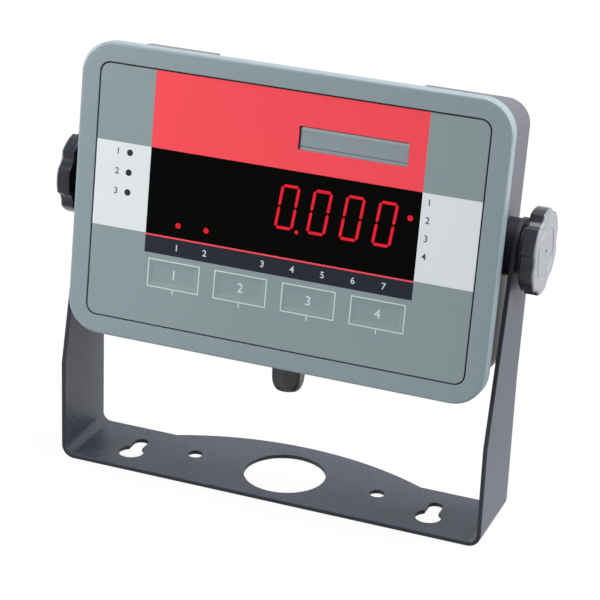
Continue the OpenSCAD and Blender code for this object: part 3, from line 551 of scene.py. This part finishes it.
bm = bmesh.new()
for x in key_xs:
    inner = round_rect(bm, frame_w - 2 * frame_line, frame_h - 2 * frame_line, frame_corner_r,
                       x, key_y, steps=2)
    outer = round_rect(bm, frame_w, frame_h, frame_corner_r, x, key_y, steps=2)
    cap(bm, inner, outer)
    cap(bm, round_rect(bm, tick_w, tick_h, tick_corner_r, x, key_y - (frame_h + tick_h) / 2, steps=2))
thicken(bm, ink_t)
bmesh.ops.translate(bm, vec=(0, 0, -panel_sink), verts=bm.verts)
piece(bm, "key_frames", on_face, "head", "panel_film", [pale_ink])

bm = bmesh.new()
light, dark = range(2)
lamp_rows = [(lamp_number_x, lamp_y + (1 - index) * lamp_pitch, dark) for index in range(lamp_count)]
status_row = [(x, status_number_y, light) for x in status_xs]
unit_rows = [(unit_number_x, unit_y + (1 - index) * unit_pitch, dark) for index in range(unit_count)]
for places in (lamp_rows, status_row, unit_rows):
    for index, (x, y, ink) in enumerate(places):
        number(bm, str(index + 1), small_number_h, x, y, -panel_sink, ink)
piece(bm, "panel_numbers", on_face, "head", "panel_film", [pale_ink, dark_ink])

# The rating strip is a blank grey card in a shallow pocket, held by a sloped bead along the pocket's upper
# edge and a low lip along its lower edge, with a groove above the lip. Pocket and card are one pressing here,
# drawn as a profile of heights and depths, and as deep as the card lies. The bead is painted lighter, as a
# painted highlight, and the groove darker, as painted shade.
card_profile = ((-5.6, -0.95), (-4.2, -1.05), (-3.9, -1.3), (-3.6, -1.2),
                (3.7, -1.2), (3.9, -0.95), (5.05, -1.45))
card_t, card_gap = 0.05, 0.65
groove_low, groove_high, bead_low = -4.2, -3.5, 3.6
card_grey = finish("card_grey", (116, 130, 136), 0.5, tone=0.05, patch=40, grain=500, depth=0.00002)
# Painted highlight: the bead is lighter than the card because it faces up.
card_bead_highlight = finish("card_bead_highlight", (144, 157, 162), 0.45, tone=0.04, grain=500, depth=0.00002)
# Painted shade: the groove is darker than the card.
card_groove_shade = finish("card_groove_shade", (84, 96, 102), 0.5, tone=0.05, grain=500, depth=0.00002)
bm = bmesh.new()
path(bm, *[(depth, height) for height, depth in card_profile], closed=False)
bmesh.ops.rotate(bm, verts=bm.verts, cent=(0, 0, 0), matrix=Matrix.Rotation(-math.pi / 2, 3, "Y"))
drawn = bmesh.ops.extrude_edge_only(bm, edges=bm.edges[:])["geom"]
bmesh.ops.translate(bm, vec=(strip_w - card_gap, 0, 0), verts=verts_in(drawn))
on_card, on_bead_highlight, on_groove_shade = range(3)
for face in bm.faces:
    height = face.calc_center_median().y
    if height > bead_low:
        face.material_index = on_bead_highlight
    elif groove_low < height < groove_high:
        face.material_index = on_groove_shade
    else:
        face.material_index = on_card
bmesh.ops.translate(bm, vec=(strip_x - strip_w / 2 + card_gap, strip_y, 0), verts=bm.verts)
thicken(bm, -card_t)
piece(bm, "rating_card", on_face, "head", "strip_card", [card_grey, card_bead_highlight, card_groove_shade], "rating_strip")

# Each clamp knob is a lobed black moulding with a threaded steel stud, and tightens a steel washer on the
# arm. Its polished rim has hollows for the fingers, and its end has a raised ring round it and a sunk mark in
# the middle. The end and its rounded edge are painted pale grey as a painted reflection, the ring lighter as
# a painted highlight and the mark darker as painted shade.
knob_r, rim_t, rim_edge_r = 20.3, 7.3, 0.9
lobe_count, flute_r, flute_d = 6, 7.6, 1.9
right_lobe_turn, left_lobe_turn = -22.7, 4.5
hub_r, hub_t, washer_t = 13, 1.5, 1.5
face_gap, run_gap = 0.1, 0.05
ring_r, ring_w, ring_h, ring_taper = 12.6, 1.0, 0.2, 0.015
mark_r, mark_d, mark_floor_share = 1.7, 0.3, 0.75
knob_black = finish("knob_black", (25, 28, 38), 0.17, tone=0.1, grain=500, depth=0.00001,
                    Specular_IOR_Level=0.35)
# Painted light on the knob's end: the mark darker as painted shade, the ring lighter as a painted highlight,
# and the end pale grey as a painted reflection on the black plastic.
knob_mark_shade = finish("knob_mark_shade", (84, 87, 97), 0.4, tone=0.04, grain=700)
knob_ring_highlight = finish("knob_ring_highlight", (136, 139, 148), 0.3, tone=0.04, grain=700)
knob_end_reflection = finish("knob_end_reflection", (100, 103, 113), 0.3, tone=0.04, grain=700, depth=0.000004, Coat_Weight=0.5,
                  Coat_Roughness=0.2)


def around(radius, angle):
    """The point of an outline at a radius and an angle about the knob's axis."""
    return radius * math.cos(angle), radius * math.sin(angle)


knob_back = arm_out_x + face_gap + washer_t + run_gap + hub_t
knob_front = knob_back + rim_t
flute_out = knob_r - flute_d + flute_r
meet = math.degrees(math.acos((flute_out**2 + knob_r**2 - flute_r**2) / (2 * flute_out * knob_r)))
flute_half = math.degrees(math.asin(knob_r * math.sin(math.radians(meet)) / flute_r))
lobe_pitch = 360 / lobe_count
rim_black, end_painted_reflection, ring_painted_highlight, mark_painted_shade = range(4)
for side, lobe_turn in ((1, right_lobe_turn), (-1, left_lobe_turn)):
    word = "right" if side > 0 else "left"
    on_axle = (tilt_axis @ Matrix.Scale(mm, 4) @ Matrix.Diagonal((side, 1, 1, 1))
               @ Matrix(((0, 0, 1, 0), (-1, 0, 0, 0), (0, -1, 0, 0), (0, 0, 0, 1))))
    bm = bmesh.new()
    stretches = []
    for lobe in range(lobe_count):
        begin = math.radians(lobe * lobe_pitch + lobe_turn - lobe_pitch / 2 + meet)
        hollow = math.radians(lobe * lobe_pitch + lobe_turn + lobe_pitch / 2)
        edge = hollow - math.radians(meet)
        stretches.append(((0, 0), around(knob_r, begin), lobe_pitch - 2 * meet))
        stretches.append((around(flute_out, hollow), around(knob_r, edge), -2 * flute_half))
    path(bm, *stretches, steps=10)
    bmesh.ops.contextual_create(bm, geom=bm.edges[:])
    bmesh.ops.translate(bm, vec=(0, 0, knob_back), verts=bm.verts)
    thicken(bm, rim_t)
    ease(bm, rim_edge_r, [e for e in bm.edges if abs(e.verts[0].co.z - e.verts[1].co.z) < near], segments=4)
    # The rounded edge at the end shares the end's painted reflection.
    for face in bm.faces:
        at_end = all(vert.co.z > knob_front - rim_edge_r - near for vert in face.verts)
        face.material_index = end_painted_reflection if at_end else rim_black
    end_rim = rim_at(bm, knob_front)
    ring_out = circle(bm, ring_r + ring_w / 2, z=knob_front)
    ring_in = circle(bm, ring_r - ring_w / 2, z=knob_front)
    mark = circle(bm, mark_r, z=knob_front, segments=24)
    cap(bm, end_rim, ring_out)
    cap(bm, ring_in, mark)
    bead_out = draw_out(bm, ring_out, ring_h, 1 - ring_taper)
    bead_in = draw_out(bm, ring_in, ring_h, 1 + ring_taper)
    bead = bridge(bm, bead_out, bead_in)
    mark_floor = cap(bm, draw_out(bm, mark, -mark_d, mark_floor_share))
    # The mark's floor takes painted shade, the ring a painted highlight and the end face a painted
    # reflection.
    for face in bm.faces:
        if face in mark_floor:
            face.material_index = mark_painted_shade
        elif face in bead:
            face.material_index = ring_painted_highlight
        elif all(vert.co.z > knob_front - mark_d - near for vert in face.verts):
            face.material_index = end_painted_reflection
    hub = circle(bm, hub_r, z=knob_back)
    cap(bm, draw_out(bm, hub, -hub_t))
    piece(bm, f"{word}_knob_moulding", on_axle, f"{word}_knob", "knob_black",
          [knob_black, knob_end_reflection, knob_ring_highlight, knob_mark_shade], f"{word}_knob")

# The cable gland is a black moulded fitting: a hexagonal body held through the housing's wall by a locknut,
# and under it a domed nut with six flats that squeezes a rubber seal. Their corners are turned off round.
gland_back = 2
gland_body_af, gland_body_h, gland_nut_af, gland_nut_h = 19, 5, 14.6, 19.0
gland_chamfer, gland_corner_cut = 1.2, 0.5
gland_mouth_r, gland_lip_r, gland_dome_r, gland_skirt_r = 4.0, 4.3, 8.0, 8.9
gland_dome_h, gland_wall = 8.0, 3.2
flats_over_corners = math.cos(math.pi / 6)
facet_below = math.radians(17)
on_gland = tilt_axis @ Matrix.Translation((0, gland_back * mm, 0)) @ Matrix.Scale(mm, 4)
gland_top = -housing_h / 2
gland_black = finish("gland_black", (38, 38, 43), 0.36, tone=0.08, grain=900, depth=0.00003, speck=0.3)


def hexagon_rod(bm, across_flats, top, height, rings, turned_r):
    """Adds an upright six-sided rod, cut into rings, its corners turned down to a radius at each depth."""
    first = circle(bm, across_flats / 2 / flats_over_corners, z=top, segments=6)
    bmesh.ops.subdivide_edges(bm, edges=first, cuts=11)
    first = rim = bm.edges[:]
    for _ in range(rings):
        rim = draw_out(bm, rim, -height / rings)
    for vert in bm.verts:
        spread = math.hypot(vert.co.x, vert.co.y)
        limit = turned_r(top - vert.co.z)
        if spread > limit:
            vert.co.x, vert.co.y = vert.co.x * limit / spread, vert.co.y * limit / spread
    return first, rim


def turned_hexagon(down):
    """The radius of the gland's body at a depth below the housing: both ends are chamfered."""
    corner_r = gland_body_af / 2 / flats_over_corners - gland_corner_cut
    return corner_r - max(0, gland_chamfer - down, down - gland_body_h + gland_chamfer)


def turned_dome(down):
    """The radius of the nut at a depth below its top: a tapered skirt that ends in a round nose."""
    above = gland_nut_h - down
    if above < gland_dome_h:
        return gland_lip_r + (gland_dome_r - gland_lip_r) * math.sqrt(1 - (1 - above / gland_dome_h) ** 2)
    skirt_h = gland_nut_h - gland_dome_h
    return gland_dome_r + (gland_skirt_r - gland_dome_r) * (above - gland_dome_h) / skirt_h


bm = bmesh.new()
top_rim, low_rim = hexagon_rod(bm, gland_body_af, gland_top, gland_body_h, rings=20, turned_r=turned_hexagon)
cap(bm, top_rim)
cap(bm, low_rim)
piece(bm, "gland_hexagon", on_gland, "head", "gland_black", [gland_black], "gland_body")

bm = bmesh.new()
nut_top = gland_top - gland_body_h - face_gap
top_rim, low_rim = hexagon_rod(bm, gland_nut_af, nut_top, gland_nut_h, rings=60, turned_r=turned_dome)
mouth = circle(bm, gland_mouth_r, z=nut_top - gland_nut_h, segments=72)
cap(bm, low_rim, mouth)
cap(bm, draw_out(bm, mouth, gland_wall))
cap(bm, top_rim)
nut = piece(bm, "gland_dome", on_gland, "head", "gland_black", [gland_black], "gland_nut")
nut.data.set_sharp_from_angle(angle=facet_below)

# What the sealed head holds is fitted before it is closed: two circuit boards on posts, six digit modules,
# lamps and key switches, a transformer, terminals, a flat cable and the screws. These, and the discs and
# studs on the tilt axis, keep the shapes of their nodes.
inner_finishes = {
    "sealing_ring": finish("seal_rubber", (22, 22, 22), 0.8, grain=400),
    "gland_seal": finish("gland_rubber", (20, 20, 20), 0.8, grain=400),
    "gland_locknut": gland_black,
    "display_window": finish("dark_acrylic", (12, 10, 10), 0.1, grain=200, depth=0.000003),
    "left_insert right_insert": finish("turned_brass", (190, 155, 85), 0.28, grain=300, Metallic=1.0),
    "left_spacer right_spacer": finish("spacer_black", (14, 16, 26), 0.55, grain=800, Specular_IOR_Level=0.2),
    "left_washer right_washer":
        finish("blackened_steel", (34, 35, 42), 0.45, tone=0.1, grain=900, Specular_IOR_Level=0.3),
    "left_stud right_stud cover_screws display_screws board_screws":
        finish("zinc_plate", (188, 189, 192), 0.3, tone=0.1, grain=900, Metallic=1.0),
    "main_board display_board": finish("board_resin", (30, 92, 56), 0.4, tone=0.15, patch=90),
    "digit_1 digit_2 digit_3 digit_4 digit_5 digit_6":
        finish("digit_case", (34, 12, 14), 0.4, tone=0.15, patch=60),
    "lamp_1 lamp_2 lamp_3": finish("lamp_lens", (60, 62, 72), 0.2, patch=90),
    "status_lamps": finish("red_lens", (200, 30, 40), 0.2, patch=90),
    "key_switch_1 key_switch_2 key_switch_3 key_switch_4": finish("switch_black", (36, 36, 38), 0.5),
    "transformer": finish("varnished_core", (74, 68, 62), 0.45, tone=0.12, patch=60, grain=500),
    "terminal_block": finish("terminal_green", (40, 120, 82), 0.45, patch=60),
    "ribbon_cable": finish("ribbon_grey", (178, 178, 180), 0.5, patch=60),
}
for names, material in inner_finishes.items():
    for name in names.split():
        frame["nodes"][name].data.materials.clear()
        frame["nodes"][name].data.materials.append(material)

# The studio has a pale floor under soft lamps. Floor and background are white to the camera and to glossy
# surfaces, the floor keeps the object's shadow, and the background lights the object less than it shows.
floor_size, floor_shade, floor_roughness = 6, 0.4, 0.9
floor_glow, glow_share = 1.04, 0.9
ambient = 0.32
lamp_aim = Vector((0, 0, 0.1))
lamps = (
    ("key_lamp", (-0.8, -0.55, 0.45), 0.5, 10.2),
    ("fill_lamp", (1.4, 0.3, 0.8), 1.3, 34),
    ("top_lamp", (0.2, 0.3, 1.6), 1.3, 36),
)


def in_view(nodes, links):
    """A number that is 1 for what the camera or a glossy surface sees, and 0 for other light."""
    rays = nodes.new("ShaderNodeLightPath")
    seen = nodes.new("ShaderNodeMath")
    seen.operation = "MAXIMUM"
    links.new(rays.outputs["Is Camera Ray"], seen.inputs[0])
    links.new(rays.outputs["Is Glossy Ray"], seen.inputs[1])
    return seen.outputs["Value"]


bm = bmesh.new()
bmesh.ops.create_grid(bm, x_segments=2, y_segments=2, size=floor_size)
floor_mesh = bpy.data.meshes.new("floor")
bm.to_mesh(floor_mesh)
bm.free()
floor = bpy.data.objects.new("floor", floor_mesh)
bpy.context.collection.objects.link(floor)

pale_floor = bpy.data.materials.new("pale_floor")
pale_floor.use_nodes = True
nodes, links = pale_floor.node_tree.nodes, pale_floor.node_tree.links
shader = nodes["Principled BSDF"]
shader.inputs["Base Color"].default_value = (floor_shade, floor_shade, floor_shade, 1)
shader.inputs["Roughness"].default_value = floor_roughness
glow = nodes.new("ShaderNodeEmission")
glow.inputs["Strength"].default_value = floor_glow
share = nodes.new("ShaderNodeMath")
share.operation = "MULTIPLY"
share.inputs[1].default_value = glow_share
links.new(in_view(nodes, links), share.inputs[0])
blend = nodes.new("ShaderNodeMixShader")
links.new(share.outputs["Value"], blend.inputs["Fac"])
links.new(shader.outputs["BSDF"], blend.inputs[1])
links.new(glow.outputs["Emission"], blend.inputs[2])
links.new(blend.outputs["Shader"], nodes["Material Output"].inputs["Surface"])
floor_mesh.materials.append(pale_floor)

world = bpy.data.worlds.new("studio")
bpy.context.scene.world = world
world.use_nodes = True
nodes, links = world.node_tree.nodes, world.node_tree.links
backdrop = nodes["Background"]
backdrop.inputs["Color"].default_value = (1, 1, 1, 1)
level = nodes.new("ShaderNodeMapRange")
level.inputs["To Min"].default_value = ambient
links.new(in_view(nodes, links), level.inputs["Value"])
links.new(level.outputs["Result"], backdrop.inputs["Strength"])

for name, place, size, power in lamps:
    lamp = bpy.data.lights.new(name, "AREA")
    lamp.energy, lamp.size = power, size
    stand = bpy.data.objects.new(name, lamp)
    stand.location = place
    stand.rotation_euler = (lamp_aim - Vector(place)).to_track_quat("-Z", "Y").to_euler()
    bpy.context.collection.objects.link(stand)

bpy.context.scene.view_settings.view_transform = "Standard"
